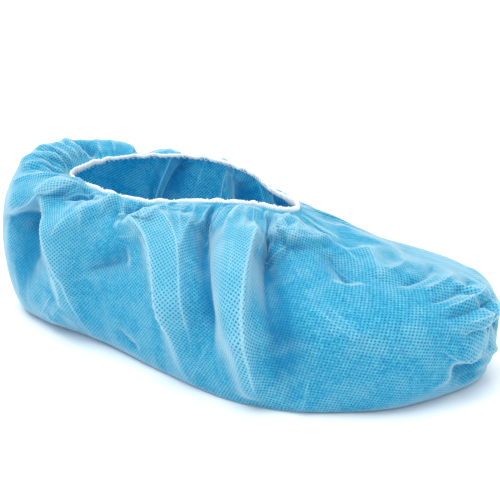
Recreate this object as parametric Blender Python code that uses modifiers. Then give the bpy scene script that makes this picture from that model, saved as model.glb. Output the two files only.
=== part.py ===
"""Disposable shoe cover of blue nonwoven cloth, gathered on an elastic round the foot opening.

Metres, +Z up. The toe points along +X, the side with the deep pleats faces -Y, and the sole
lies on z = 0 with the middle of its outline at the origin.
"""

import math

import bmesh
import bpy
import numpy as np

# Outline of the cover
cover_length = 0.320
cover_width = 0.134
sole_tuck = 0.013

# Foot opening
opening_height = 0.093
opening_length = 0.155
opening_width = 0.071
opening_setback = 0.052
rim_tilt = 0.0050
near_slump = 0.012

# Cloth and folds
cloth_wall = 0.0012
fold_depth = 0.014
fold_width = 0.012
gather_depth = 0.0025
gather_count = 26

# Elastic
elastic_width = 0.0038
elastic_wall = 0.0014
seam_gap = 0.0005

# Fineness of the cloth grid
columns_around = 108
rows_upper = 21
rows_sole = 3

# The cloth runs down from the rim (0) past its widest line to the edge of the sole (1),
# and then in to the middle line of the sole (2). It runs round from the heel (0) to the
# toe (1 or -1), with the near side negative.
WIDEST_DOWN = 0.78
SOLE_EDGE = 1.0
SOLE_MIDDLE = 2.0

# The middle line of the sole as a share of cover_length, and how full the corner is between
# the side and the sole
SPINE_SHARE = 0.70
CORNER_FULLNESS = 0.55

# One row for each section from heel to toe. rim_x is a share of opening_length, rim_y of
# half opening_width and rim_sway of opening_width. side_x is a share of cover_length, side_y
# of half cover_width and sway of cover_width. The heights rim_z, crest_z, belly_z and side_z
# are shares of opening_height, and rim_tilt raises the far side of the rim and lowers the
# near side by as much. out is how far the crest stands out, as a share of the way from the
# rim to the side, and tuck is a share of sole_tuck.
SECTION_COLUMNS = (
    "turn", "rim_x", "rim_y", "rim_sway", "rim_z", "out", "crest_z", "belly_z",
    "side_z", "side_x", "side_y", "sway", "tuck",
)
SECTIONS = (
    (0.00, 0.000, 0.00, -0.11, 0.983, 0.62, 1.36, 0.84, 0.48, 0.00, 0.00, 0.02, 1.00),
    (0.11, 0.040, 0.46, -0.01, 0.988, 0.62, 1.32, 0.84, 0.48, 0.03, 0.50, 0.02, 1.00),
    (0.23, 0.200, 0.80, 0.02, 1.003, 0.55, 1.16, 0.80, 0.47, 0.13, 0.77, 0.00, 1.15),
    (0.36, 0.440, 1.00, 0.04, 1.008, 0.48, 1.09, 0.76, 0.44, 0.30, 0.83, -0.03, 1.05),
    (0.50, 0.680, 0.67, 0.09, 1.003, 0.45, 1.00, 0.74, 0.39, 0.48, 0.94, -0.06, 0.50),
    (0.64, 0.840, 0.32, 0.00, 0.990, 0.45, 0.88, 0.72, 0.35, 0.65, 1.00, -0.09, 0.30),
    (0.78, 0.935, 0.22, -0.06, 0.980, 0.45, 0.76, 0.68, 0.36, 0.80, 0.93, -0.04, 0.55),
    (0.90, 0.985, 0.13, -0.08, 0.975, 0.45, 0.66, 0.73, 0.39, 0.93, 0.67, 0.05, 0.90),
    (1.00, 1.000, 0.00, -0.08, 0.970, 0.45, 0.62, 0.74, 0.40, 1.00, 0.00, 0.11, 0.70),
)
ODD_COLUMNS = ("rim_y", "side_y")

# One row for each fold: a straight run over the cloth from its top to its foot, given by
# turn and down. bow bends it to the left, and left and right are the widths of its two
# flanks, all seen from outside and as shares of fold_width. height is a share of
# fold_depth, and below zero it is a valley.
FOLD_COLUMNS = ("turn_a", "down_a", "turn_b", "down_b", "bow", "height", "left", "right")
FOLDS = (
    # Heel, from the end of the opening outwards
    (-0.06, 0.03, -0.12, 0.34, 0.0, 0.30, 0.5, 0.5),
    (0.01, 0.03, -0.02, 0.28, 0.0, 0.20, 0.6, 0.6),
    (0.05, 0.04, 0.07, 0.26, 0.0, 0.20, 0.5, 0.5),
    (0.10, 0.04, 0.06, 0.20, 0.0, -0.30, 0.5, 0.5),
    # Shelf at the near side of the heel, with the hollow under it
    (-0.23, 0.05, -0.15, 0.56, -0.8, 0.55, 1.6, 0.7),
    (-0.26, 0.08, -0.19, 0.58, -0.6, -0.55, 0.8, 1.3),
    (-0.22, 0.45, -0.26, 0.84, 0.0, -0.65, 1.6, 1.2),
    # Pleat at the heel side, its tuck at the floor and the ridge above it
    (-0.22, 0.33, -0.34, 0.92, -0.4, 0.85, 0.6, 1.6),
    (-0.33, 0.08, -0.30, 0.56, 0.0, 0.35, 0.7, 0.7),
    (-0.31, 0.84, -0.27, 0.93, 0.0, 0.25, 0.5, 0.5),
    (-0.43, 0.52, -0.32, 0.78, 0.0, -0.40, 0.8, 0.8),
    # Small puff under the rim
    (-0.39, 0.05, -0.40, 0.34, 0.4, -0.40, 0.5, 0.5),
    (-0.42, 0.14, -0.42, 0.32, 0.0, 0.35, 0.7, 0.7),
    # Broad pleat that widens downwards, and the valley on its right
    (-0.38, 0.32, -0.55, 0.94, -1.3, 0.75, 0.6, 1.4),
    (-0.47, 0.16, -0.56, 0.82, -0.9, 0.40, 1.4, 0.6),
    (-0.53, 0.10, -0.60, 0.84, -0.2, -0.75, 0.8, 0.8),
    # Pleat in front of it, with a long sharp edge and the valley beside it
    (-0.61, 0.04, -0.64, 0.80, 0.0, 0.45, 1.1, 1.2),
    (-0.69, 0.12, -0.68, 0.93, 0.5, 0.75, 1.3, 0.5),
    (-0.725, 0.14, -0.705, 0.92, 0.5, -0.70, 0.5, 1.0),
    (-0.65, 0.68, -0.66, 0.93, 0.0, 0.25, 0.5, 0.5),
    # Front of the opening and the top of the foot
    (-0.85, 0.03, -0.77, 0.16, 0.0, 0.35, 0.7, 0.7),
    (-0.79, 0.14, -0.97, 0.12, 0.0, 0.35, 0.6, 0.8),
    (-0.91, 0.17, -0.88, 0.36, 0.0, -0.25, 0.7, 0.7),
    (-0.99, 0.19, -0.92, 0.38, 0.0, 0.30, 0.7, 0.7),
    (0.97, 0.10, 0.98, 0.30, 0.0, 0.25, 0.8, 0.8),
    (-0.78, 0.50, -0.82, 0.72, 0.0, 0.15, 0.8, 0.8),
    # Toe, where the closing seam draws the cloth in
    (-0.99, 0.48, -0.96, 0.82, -0.3, 0.30, 0.7, 0.4),
    (-0.98, 0.52, -0.97, 0.84, -0.3, -0.30, 0.4, 0.5),
    (-0.94, 0.79, -0.96, 0.85, 0.0, 0.25, 0.5, 0.5),
    (-0.97, 0.86, -0.93, 0.85, 0.0, -0.40, 0.5, 0.5),
    (0.99, 0.78, -0.99, 0.79, 0.0, -0.18, 0.5, 0.5),
    # Far side, drawn up by the same elastic
    (0.19, 0.03, 0.15, 0.42, 0.0, 0.12, 0.6, 0.6),
    (0.215, 0.04, 0.21, 0.30, 0.0, -0.45, 0.5, 0.5),
    (0.25, 0.03, 0.28, 0.88, 0.4, 0.15, 0.9, 0.7),
    (0.32, 0.16, 0.33, 0.84, 0.0, -0.50, 0.8, 1.0),
    (0.40, 0.20, 0.43, 0.90, 0.5, 0.20, 1.2, 0.7),
    (0.47, 0.16, 0.48, 0.70, 0.0, -0.45, 0.7, 0.9),
    (0.54, 0.22, 0.53, 0.88, -0.4, 0.20, 1.2, 0.7),
    (0.60, 0.18, 0.57, 0.84, -0.4, -0.55, 0.7, 0.9),
    (0.68, 0.20, 0.66, 0.56, 0.0, 0.10, 0.9, 0.9),
    (0.77, 0.16, 0.70, 0.78, 0.6, 0.12, 0.8, 0.8),
    (0.83, 0.14, 0.76, 0.70, 0.6, -0.35, 0.8, 0.8),
    (0.88, 0.24, 0.86, 0.66, 0.0, -0.15, 0.8, 0.8),
    (0.93, 0.56, 0.95, 0.86, 0.0, 0.12, 0.6, 0.6),
)

# How a fold runs out: the share of its height that it starts and ends with, the share of
# its run over which it grows or fades, and how pointed its crest is
FOLD_START = 0.35
FOLD_END = 0.10
FOLD_GROWS = 0.20
FOLD_FADES = 0.30
CREST_POWER = 1.5

# The gathers wander a little in their spacing, fall slack in front of the foot opening and
# fade down the cloth
GATHER_WANDER = 0.9
GATHER_WANDER_RATE = 7.0
SLACK_SHARE = 0.75
SLACK_FROM = 0.60
SLACK_OVER = 0.25
GATHER_RISES = 0.05
GATHER_FADES = 0.30

# Folds and gathers start this far from the rim and end this far from the edge of the sole
RIM_HOLD = 0.04
SOLE_HOLD = 0.10

# Share of the elastic that stands above the rim
ELASTIC_ABOVE = 0.65

# Step in turn or down over which a direction is measured, the shortest length that counts
# as one, and the distance within which grid points are one
STEP = 0.004
TINY = 1e-12
WELD = 0.00001


def smooth_step(share):
    """Rise from 0 to 1 with level ends."""
    share = np.clip(share, 0.0, 1.0)
    return share * share * (3.0 - 2.0 * share)


def section(name, turn):
    """The value of one section column at each turn, as a smooth curve through the rows."""
    rows = np.array(SECTIONS)
    place = rows[:, 0]
    value = rows[:, SECTION_COLUMNS.index(name)]
    mirror = -1.0 if name in ODD_COLUMNS else 1.0
    place = np.concatenate([-place[:0:-1], place, 2.0 - place[-2::-1]])
    value = np.concatenate([mirror * value[:0:-1], value, mirror * value[-2::-1]])
    slope = np.gradient(value, place)
    index = np.clip(np.searchsorted(place, turn, side="right") - 1, 0, len(place) - 2)
    span = place[index + 1] - place[index]
    way = (turn - place[index]) / span
    rest = 1.0 - way
    return (
        value[index] * (1.0 + 2.0 * way) * rest**2
        + slope[index] * span * way * rest**2
        + value[index + 1] * way**2 * (3.0 - 2.0 * way)
        - slope[index + 1] * span * way**2 * rest
    )


def bezier(start, first, second, end, way):
    """Point on a curve from start to end that two handles shape."""
    rest = 1.0 - way
    return (
        start * rest**3
        + 3.0 * first * way * rest**2
        + 3.0 * second * way**2 * rest
        + end * way**3
    )


def wrapped(turn):
    """Turn brought back into -1 to 1, which both stand for the toe."""
    return (turn + 1.0) % 2.0 - 1.0


def rim_at(turn):
    """The cut edge of the foot opening."""
    near_or_far = np.where(turn < 0.0, -1.0, 1.0)
    heel_end = opening_setback - cover_length / 2
    middle = opening_width * section("rim_sway", abs(turn))
    across = section("rim_y", abs(turn))
    return np.stack([
        heel_end + opening_length * section("rim_x", abs(turn)),
        middle + near_or_far * opening_width / 2 * across,
        opening_height * section("rim_z", abs(turn)) + near_or_far * rim_tilt * across,
    ], axis=-1)


def side_at(turn):
    """The widest line of the cover."""
    near_or_far = np.where(turn < 0.0, -1.0, 1.0)
    middle = cover_width * section("sway", abs(turn))
    return np.stack([
        cover_length * (section("side_x", abs(turn)) - 0.5),
        middle + near_or_far * cover_width / 2 * section("side_y", abs(turn)),
        opening_height * section("side_z", abs(turn)),
    ], axis=-1)


def plan_normal(curve, turn):
    """Unit direction out of a closed curve in plan, with no height."""
    along = curve(wrapped(turn + STEP)) - curve(wrapped(turn - STEP))
    out = np.stack([-along[..., 1], along[..., 0], 0.0 * along[..., 0]], axis=-1)
    return out / np.linalg.norm(out, axis=-1, keepdims=True)


def smooth_form(turn, down):
    """Point of the cover without its folds."""
    turn = wrapped(turn)
    rim = rim_at(turn)
    side = side_at(turn)
    out = plan_normal(side_at, turn)
    up = np.array([0.0, 0.0, 1.0])
    ground = np.array([1.0, 1.0, 0.0])
    reach = np.linalg.norm((side - rim) * ground, axis=-1)
    slump = np.where(turn < 0.0, near_slump * np.sin(math.pi * turn), 0.0)
    crest = rim * ground + out * (section("out", abs(turn)) * reach)[..., None]
    crest = crest + up * (opening_height * section("crest_z", abs(turn)) + slump)[..., None]
    belly = side * ground + up * (opening_height * section("belly_z", abs(turn)))[..., None]
    tuck = (sole_tuck * section("tuck", abs(turn)))[..., None]
    edge = side * ground - out * tuck
    upper = bezier(rim, crest, belly, side, np.clip(down / WIDEST_DOWN, 0.0, 1.0)[..., None])
    lower_way = np.clip((down - WIDEST_DOWN) / (SOLE_EDGE - WIDEST_DOWN), 0.0, 1.0)[..., None]
    under_side = side - up * side[..., 2:] * CORNER_FULLNESS
    beside_edge = edge + out * tuck * CORNER_FULLNESS
    lower = bezier(side, under_side, beside_edge, edge, lower_way)
    skin = np.where((down <= WIDEST_DOWN)[..., None], upper, lower)
    spine = np.stack([
        SPINE_SHARE * cover_length * (section("side_x", abs(turn)) - 0.5),
        cover_width * section("sway", abs(turn)),
        0.0 * turn,
    ], axis=-1)
    sole_way = np.clip(down - SOLE_EDGE, 0.0, 1.0)[..., None]
    return np.where((down <= SOLE_EDGE)[..., None], skin, edge + (spine - edge) * sole_way)


def cloth_spans(turn, down):
    """Vectors round and down the smooth form, for a whole unit of turn and of down."""
    below = np.minimum(down + STEP, SOLE_EDGE)
    above = np.maximum(below - 2.0 * STEP, 0.0)
    round_it = (smooth_form(turn + STEP, down) - smooth_form(turn - STEP, down)) / (2.0 * STEP)
    down_it = (smooth_form(turn, below) - smooth_form(turn, above)) / (below - above)[..., None]
    return round_it, down_it


def fold_heights(turn, down):
    """How far each point stands out of the smooth form, for all the folds together."""
    total = np.zeros_like(turn)
    for row in FOLDS:
        fold = dict(zip(FOLD_COLUMNS, row))
        run_turn = wrapped(fold["turn_b"] - fold["turn_a"])
        run_down = fold["down_b"] - fold["down_a"]
        middle_turn = np.array([fold["turn_a"] + run_turn / 2])
        middle_down = np.array([fold["down_a"] + run_down / 2])
        girth, drop = (np.linalg.norm(span) for span in cloth_spans(middle_turn, middle_down))
        run_x = run_turn * girth
        run_y = run_down * drop
        run = np.hypot(run_x, run_y)
        x = wrapped(turn - fold["turn_a"]) * girth
        y = (down - fold["down_a"]) * drop
        way = (x * run_x + y * run_y) / run**2
        inside = np.clip(way, 0.0, 1.0)
        past_end = (way - inside) * run
        bow = fold["bow"] * fold_width * 4.0 * inside * (1.0 - inside)
        aside = (x * run_y - y * run_x) / run - bow
        flank = fold_width * np.where(aside > 0.0, fold["left"], fold["right"])
        spread = np.hypot(aside, past_end) / flank
        start = smooth_step(inside / FOLD_GROWS + FOLD_START)
        end = smooth_step((1.0 - inside) / FOLD_FADES + FOLD_END)
        total += fold["height"] * fold_depth * start * end * np.exp(-(spread**CREST_POWER))
    return total


def gather_heights(turn, down):
    """The small even gathers that the elastic draws up, fading down the cloth."""
    wander = GATHER_WANDER * np.sin(GATHER_WANDER_RATE * turn)
    wave = np.cos(math.pi * gather_count * turn + wander)
    slack = 1.0 - SLACK_SHARE * smooth_step((abs(turn) - SLACK_FROM) / SLACK_OVER)
    rise = smooth_step(down / GATHER_RISES)
    fade = 1.0 - smooth_step((down - GATHER_RISES) / GATHER_FADES)
    return gather_depth * slack * rise * fade * wave


def cloth_point(turn, down):
    """Point of the cover with its folds, flat where it rests."""
    round_it, down_it = cloth_spans(turn, down)
    normal = np.cross(round_it, down_it)
    normal = normal / np.maximum(np.linalg.norm(normal, axis=-1, keepdims=True), TINY)
    height = fold_heights(turn, down) + gather_heights(turn, down)
    height *= smooth_step(down / RIM_HOLD) * smooth_step((SOLE_EDGE - down) / SOLE_HOLD)
    point = smooth_form(turn, down) + normal * height[..., None]
    point[..., 2] = np.maximum(point[..., 2], 0.0)
    return point


def elastic_point(turn, down):
    """Point of the elastic: down 0 is its top edge and down 1 its lower edge."""
    inward = -plan_normal(rim_at, turn) * (cloth_wall + seam_gap)
    height = elastic_width * (ELASTIC_ABOVE - down)
    return rim_at(wrapped(turn)) + inward + height[..., None] * np.array([0.0, 0.0, 1.0])


def wrapped_sheet(name, downs, point_at, collection):
    """A flat grid wrapped round the foot: each grid vertex goes where point_at puts it."""
    work = bmesh.new()
    bmesh.ops.create_grid(work, x_segments=columns_around, y_segments=len(downs) - 1, size=1.0)
    work.verts.ensure_lookup_table()
    flat = np.array([vert.co for vert in work.verts])
    rows = np.rint((flat[:, 1] + 1.0) / 2.0 * (len(downs) - 1)).astype(int)
    placed = point_at(flat[:, 0], np.array(downs)[rows])
    for vert, point in zip(work.verts, placed):
        vert.co = point
    bmesh.ops.remove_doubles(work, verts=work.verts, dist=WELD)
    mesh = bpy.data.meshes.new(name)
    work.to_mesh(mesh)
    work.free()
    sheet = bpy.data.objects.new(name, mesh)
    collection.objects.link(sheet)
    return sheet


def plain_material(name, colour, roughness):
    material = bpy.data.materials.new(name)
    material.use_nodes = True
    shader = material.node_tree.nodes["Principled BSDF"]
    shader.inputs["Base Color"].default_value = (*colour, 1.0)
    shader.inputs["Roughness"].default_value = roughness
    shader.inputs["Metallic"].default_value = 0.0
    return material


def add_wall(sheet, thickness):
    """Thicken an open sheet inwards, away from its outer face."""
    wall = sheet.modifiers.new("Wall", "SOLIDIFY")
    wall.thickness = thickness
    wall.offset = -1.0
    wall.use_even_offset = False


def build():
    for old in list(bpy.data.objects):
        bpy.data.objects.remove(old, do_unlink=True)
    collection = bpy.data.collections.new("shoe_cover")
    bpy.context.scene.collection.children.link(collection)

    downs = list(np.linspace(0.0, SOLE_EDGE, rows_upper + 1))
    downs += list(np.linspace(SOLE_EDGE, SOLE_MIDDLE, rows_sole + 1)[1:])
    cover = wrapped_sheet("cover", downs, cloth_point, collection)
    cover.data.materials.append(plain_material("blue_nonwoven", (0.13, 0.50, 0.74), 0.85))
    add_wall(cover, cloth_wall)

    elastic = wrapped_sheet("elastic_band", [0.0, 1.0], elastic_point, collection)
    elastic.data.materials.append(plain_material("white_elastic", (0.88, 0.90, 0.92), 0.70))
    add_wall(elastic, elastic_wall)

    # The folds stand a little further out on one side, so both pieces are centred together.
    corners = np.array([vert.co for vert in cover.data.vertices])
    middle = (corners.min(axis=0) + corners.max(axis=0)) / 2
    for piece in (cover, elastic):
        for vert in piece.data.vertices:
            vert.co.x -= middle[0]
            vert.co.y -= middle[1]
        piece.data.shade_smooth()


build()
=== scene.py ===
"""Looks of the disposable shoe cover: embossed blue nonwoven cloth on a white elastic.

Metres, +Z up, toe along +X. The cover lies on z = 0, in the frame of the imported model.
"""

import math
import random

import bmesh
import bpy
import numpy as np
from mathutils import Matrix, Vector, noise


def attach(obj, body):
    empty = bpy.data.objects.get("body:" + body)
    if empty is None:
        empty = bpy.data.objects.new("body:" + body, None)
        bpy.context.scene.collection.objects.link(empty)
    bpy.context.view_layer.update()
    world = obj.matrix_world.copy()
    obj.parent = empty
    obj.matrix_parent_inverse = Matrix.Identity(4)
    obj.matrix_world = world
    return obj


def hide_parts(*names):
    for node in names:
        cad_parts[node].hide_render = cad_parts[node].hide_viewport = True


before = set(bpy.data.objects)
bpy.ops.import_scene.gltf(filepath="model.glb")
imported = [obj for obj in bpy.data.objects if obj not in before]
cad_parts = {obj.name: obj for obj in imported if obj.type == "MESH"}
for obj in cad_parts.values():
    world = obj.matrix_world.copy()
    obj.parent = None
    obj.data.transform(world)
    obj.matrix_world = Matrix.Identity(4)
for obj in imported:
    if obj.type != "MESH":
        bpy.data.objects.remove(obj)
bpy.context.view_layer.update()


# View, floor and light. The camera stands to the near side of the toe, a little above the
# cover. The floor is one plain pale sheet, lit by a pale room and a broad lamp overhead.
photo_side = 500
photo_focal = 994.7
photo_aim = (215.0, 267.3)
aim_point = Vector((0.0, 0.0, 0.05))
camera_azimuth = math.radians(29.0)
camera_elevation = math.radians(21.0)
camera_distance = 0.588
sensor_width = 36.0
nearest_seen = 0.01
floor_reach = 4.0
floor_gap = 0.0004
floor_colour = (0.93, 0.94, 0.95)
room_colour = (0.95, 0.98, 1.0, 1.0)
room_brightness = 1.0
lamp_brightness = 2.3
lamp_spread = math.radians(50.0)
lamp_side = Vector((-0.20, -0.12, 1.0))

camera_back = Vector((
    math.sin(camera_azimuth) * math.cos(camera_elevation),
    -math.cos(camera_azimuth) * math.cos(camera_elevation),
    math.sin(camera_elevation),
))
camera_data = bpy.data.cameras.new("camera")
camera_data.sensor_width = sensor_width
camera_data.lens = sensor_width * photo_focal / photo_side
camera_data.shift_x = (photo_side / 2 - photo_aim[0]) / photo_side
camera_data.shift_y = (photo_aim[1] - photo_side / 2) / photo_side
camera_data.clip_start = nearest_seen
camera = bpy.data.objects.new("camera", camera_data)
camera.location = aim_point + camera_back * camera_distance
camera.rotation_euler = camera_back.to_track_quat("Z", "Y").to_euler()
bpy.context.scene.collection.objects.link(camera)
bpy.context.scene.camera = camera
bpy.context.scene.view_settings.view_transform = "Standard"


def add_object(name, mesh):
    """A mesh as an object of the scene, at the origin."""
    made = bpy.data.objects.new(name, mesh)
    bpy.context.scene.collection.objects.link(made)
    return made


def new_material(name, colour, roughness):
    """A material with its Principled shader, and the shader."""
    made = bpy.data.materials.new(name)
    made.use_nodes = True
    shader = made.node_tree.nodes["Principled BSDF"]
    shader.inputs["Base Color"].default_value = (*colour, 1.0)
    shader.inputs["Roughness"].default_value = roughness
    shader.inputs["Metallic"].default_value = 0.0
    return made, shader


floor_work = bmesh.new()
bmesh.ops.create_grid(floor_work, x_segments=1, y_segments=1, size=floor_reach)
bmesh.ops.translate(floor_work, verts=floor_work.verts, vec=(0.0, 0.0, -floor_gap))
floor_mesh = bpy.data.meshes.new("floor")
floor_work.to_mesh(floor_mesh)
floor_work.free()
floor = add_object("floor", floor_mesh)
floor_paper, _ = new_material("pale_paper", floor_colour, 0.9)
floor.data.materials.append(floor_paper)

room = bpy.data.worlds.new("pale_room")
room.use_nodes = True
backdrop = room.node_tree.nodes["Background"]
backdrop.inputs["Color"].default_value = room_colour
backdrop.inputs["Strength"].default_value = room_brightness
bpy.context.scene.world = room

lamp_data = bpy.data.lights.new("soft_overhead", "SUN")
lamp_data.energy = lamp_brightness
lamp_data.angle = lamp_spread
lamp = bpy.data.objects.new("soft_overhead", lamp_data)
lamp.rotation_euler = lamp_side.to_track_quat("Z", "Y").to_euler()
bpy.context.scene.collection.objects.link(lamp)


# The cloth cover. One piece of light spunbond nonwoven, sole included, is closed at the toe
# and the heel. The elastic draws its long edge into gathers, and the cloth keeps the folds and
# sharp creases that it was packed with. It holds the rounded form of the shoe inside it.
cover_length = 0.320
cover_width = 0.134
sole_tuck = 0.013
opening_height = 0.093
opening_length = 0.155
opening_width = 0.071
opening_setback = 0.052
rim_tilt = 0.0050
near_slump = 0.012
fold_depth = 0.014
fold_width = 0.012
fold_power = 1.5
cloth_wall = 0.0004

WIDEST_DOWN = 0.78
SOLE_EDGE = 1.0
SOLE_MIDDLE = 2.0
SPINE_SHARE = 0.70
CORNER_FULLNESS = 0.55
STEP = 0.004

# Sections from heel to toe, as in the solid: turn is 0 at the heel and 1 at the toe, with the
# near side negative, and down is 0 at the rim, 1 at the edge of the sole and 2 at its middle.
SECTION_COLUMNS = (
    "turn", "rim_x", "rim_y", "rim_sway", "rim_z", "out", "crest_z", "belly_z",
    "side_z", "side_x", "side_y", "sway", "tuck",
)
SECTIONS = (
    (0.00, 0.000, 0.00, -0.11, 0.983, 0.62, 1.36, 0.84, 0.48, 0.00, 0.00, 0.02, 1.00),
    (0.11, 0.040, 0.46, -0.01, 0.988, 0.62, 1.32, 0.84, 0.48, 0.03, 0.50, 0.02, 1.00),
    (0.23, 0.200, 0.80, 0.02, 1.003, 0.55, 1.16, 0.80, 0.47, 0.13, 0.77, 0.00, 1.15),
    (0.36, 0.440, 1.00, 0.04, 1.008, 0.48, 1.09, 0.76, 0.44, 0.30, 0.83, -0.03, 1.05),
    (0.50, 0.680, 0.67, 0.09, 1.003, 0.45, 1.00, 0.74, 0.39, 0.48, 0.94, -0.06, 0.50),
    (0.64, 0.840, 0.32, 0.00, 0.990, 0.45, 0.88, 0.72, 0.35, 0.65, 1.00, -0.09, 0.30),
    (0.78, 0.935, 0.22, -0.06, 0.980, 0.45, 0.76, 0.68, 0.36, 0.80, 0.93, -0.04, 0.55),
    (0.90, 0.985, 0.13, -0.08, 0.975, 0.45, 0.66, 0.73, 0.39, 0.93, 0.67, 0.05, 0.90),
    (1.00, 1.000, 0.00, -0.08, 0.970, 0.45, 0.62, 0.74, 0.40, 1.00, 0.00, 0.11, 0.70),
)
ODD_COLUMNS = ("rim_y", "side_y")

# Folds, each a straight run from its top to its foot. bow bends it to the left, and left and
# right are the widths of its flanks, seen from outside and as shares of fold_width. height is
# a share of fold_depth, and below zero it is a valley.
FOLD_COLUMNS = ("turn_a", "down_a", "turn_b", "down_b", "bow", "height", "left", "right")
FOLDS = (
    # Heel, from the end of the opening outwards
    (-0.06, 0.03, -0.12, 0.34, 0.0, 0.30, 0.5, 0.5),
    (0.01, 0.03, -0.02, 0.28, 0.0, 0.20, 0.6, 0.6),
    (0.05, 0.04, 0.07, 0.26, 0.0, 0.20, 0.5, 0.5),
    (0.10, 0.04, 0.06, 0.20, 0.0, -0.30, 0.5, 0.5),
    # Shelf at the near side of the heel, with the hollow under it
    (-0.23, 0.05, -0.15, 0.56, -0.8, 0.55, 1.6, 0.7),
    (-0.26, 0.08, -0.19, 0.58, -0.6, -0.55, 0.8, 1.3),
    (-0.22, 0.45, -0.26, 0.84, 0.0, -0.65, 1.6, 1.2),
    # Pleat at the heel side, its tuck at the floor and the ridge above it
    (-0.22, 0.33, -0.34, 0.92, -0.4, 0.85, 0.6, 1.6),
    (-0.33, 0.08, -0.30, 0.56, 0.0, 0.35, 0.7, 0.7),
    (-0.31, 0.84, -0.27, 0.93, 0.0, 0.25, 0.5, 0.5),
    (-0.43, 0.52, -0.32, 0.78, 0.0, -0.40, 0.8, 0.8),
    # Small puff under the rim
    (-0.39, 0.05, -0.40, 0.34, 0.4, -0.40, 0.5, 0.5),
    (-0.42, 0.14, -0.42, 0.32, 0.0, 0.35, 0.7, 0.7),
    # Broad pleat that widens downwards, and the valley on its right
    (-0.38, 0.32, -0.55, 0.94, -1.3, 0.75, 0.6, 1.4),
    (-0.47, 0.16, -0.56, 0.82, -0.9, 0.40, 1.4, 0.6),
    (-0.53, 0.10, -0.60, 0.84, -0.2, -0.75, 0.8, 0.8),
    # Pleat in front of it, with a long sharp edge and the valley beside it
    (-0.61, 0.04, -0.64, 0.80, 0.0, 0.45, 1.1, 1.2),
    (-0.69, 0.12, -0.68, 0.93, 0.5, 0.75, 1.3, 0.5),
    (-0.725, 0.14, -0.705, 0.92, 0.5, -0.70, 0.5, 1.0),
    (-0.65, 0.68, -0.66, 0.93, 0.0, 0.25, 0.5, 0.5),
    # Front of the opening and the top of the foot
    (-0.85, 0.03, -0.77, 0.16, 0.0, 0.35, 0.7, 0.7),
    (-0.79, 0.14, -0.97, 0.12, 0.0, 0.35, 0.6, 0.8),
    (-0.91, 0.17, -0.88, 0.36, 0.0, -0.25, 0.7, 0.7),
    (-0.99, 0.19, -0.92, 0.38, 0.0, 0.30, 0.7, 0.7),
    (0.97, 0.10, 0.98, 0.30, 0.0, 0.25, 0.8, 0.8),
    (-0.78, 0.50, -0.82, 0.72, 0.0, 0.15, 0.8, 0.8),
    # Toe, where the closing seam draws the cloth in
    (-0.99, 0.48, -0.96, 0.82, -0.3, 0.30, 0.7, 0.4),
    (-0.98, 0.52, -0.97, 0.84, -0.3, -0.30, 0.4, 0.5),
    (-0.94, 0.79, -0.96, 0.85, 0.0, 0.25, 0.5, 0.5),
    (-0.97, 0.86, -0.93, 0.85, 0.0, -0.40, 0.5, 0.5),
    (0.99, 0.78, -0.99, 0.79, 0.0, -0.18, 0.5, 0.5),
    # Far side, drawn up by the same elastic
    (0.19, 0.03, 0.15, 0.42, 0.0, 0.12, 0.6, 0.6),
    (0.215, 0.04, 0.21, 0.30, 0.0, -0.45, 0.5, 0.5),
    (0.25, 0.03, 0.28, 0.88, 0.4, 0.15, 0.9, 0.7),
    (0.32, 0.16, 0.33, 0.84, 0.0, -0.50, 0.8, 1.0),
    (0.40, 0.20, 0.43, 0.90, 0.5, 0.20, 1.2, 0.7),
    (0.47, 0.16, 0.48, 0.70, 0.0, -0.45, 0.7, 0.9),
    (0.54, 0.22, 0.53, 0.88, -0.4, 0.20, 1.2, 0.7),
    (0.60, 0.18, 0.57, 0.84, -0.4, -0.55, 0.7, 0.9),
    (0.68, 0.20, 0.66, 0.56, 0.0, 0.10, 0.9, 0.9),
    (0.77, 0.16, 0.70, 0.78, 0.6, 0.12, 0.8, 0.8),
    (0.83, 0.14, 0.76, 0.70, 0.6, -0.35, 0.8, 0.8),
    (0.88, 0.24, 0.86, 0.66, 0.0, -0.15, 0.8, 0.8),
    (0.93, 0.56, 0.95, 0.86, 0.0, 0.12, 0.6, 0.6),
)

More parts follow.
